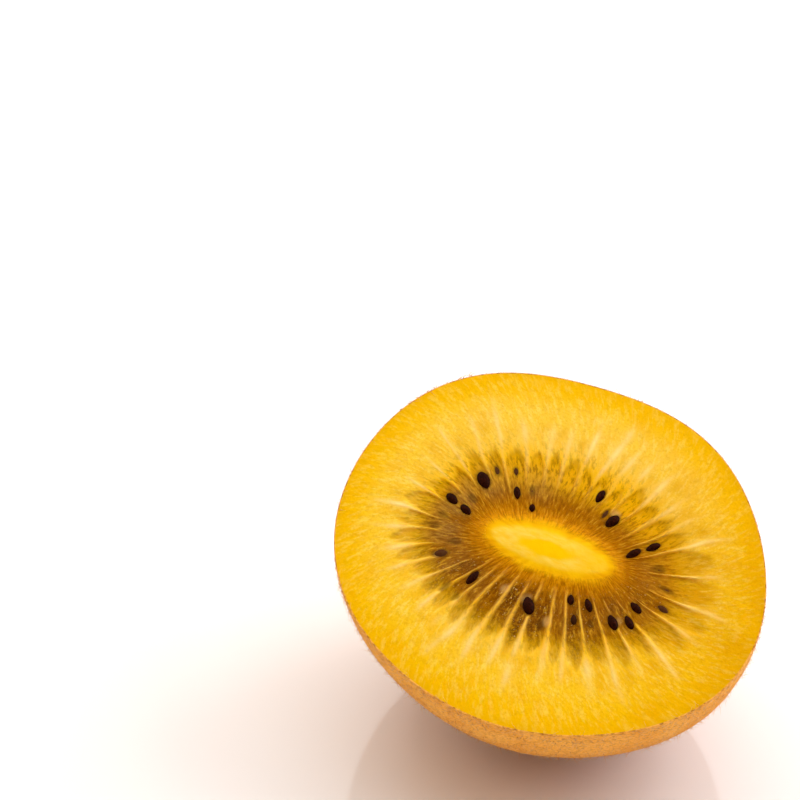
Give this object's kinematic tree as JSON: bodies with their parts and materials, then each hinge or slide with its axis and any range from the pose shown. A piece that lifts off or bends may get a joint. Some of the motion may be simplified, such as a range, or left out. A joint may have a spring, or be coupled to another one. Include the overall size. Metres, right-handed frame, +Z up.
{
  "type": "halved golden kiwi fruit",
  "caption": "Golden kiwi fruit cut across, as a half: pale oval core, rays and dark seeds in yellow flesh, thin brown skin. Rests on a small flat spot of its skin with the cut face up.",
  "frame": {"origin": "centre of the small flat spot of the skin that the half rests on", "axes": "+Z up; the cut face leans 23 degrees from level towards -Y, the front; +X to the right seen from the front"},
  "size_m": [0.0558, 0.0515, 0.0417],
  "materials": {
    "skin": "dry thin fruit skin, speckled, with short hairs",
    "flesh": "wet cut fruit flesh, translucent",
    "core": "moist firm fruit core",
    "seed": "smooth dark seed coat"
  },
  "bodies": {
    "root": {"skin": "skin", "flesh": "flesh", "core": "core"}
  },
  "joints": []
}
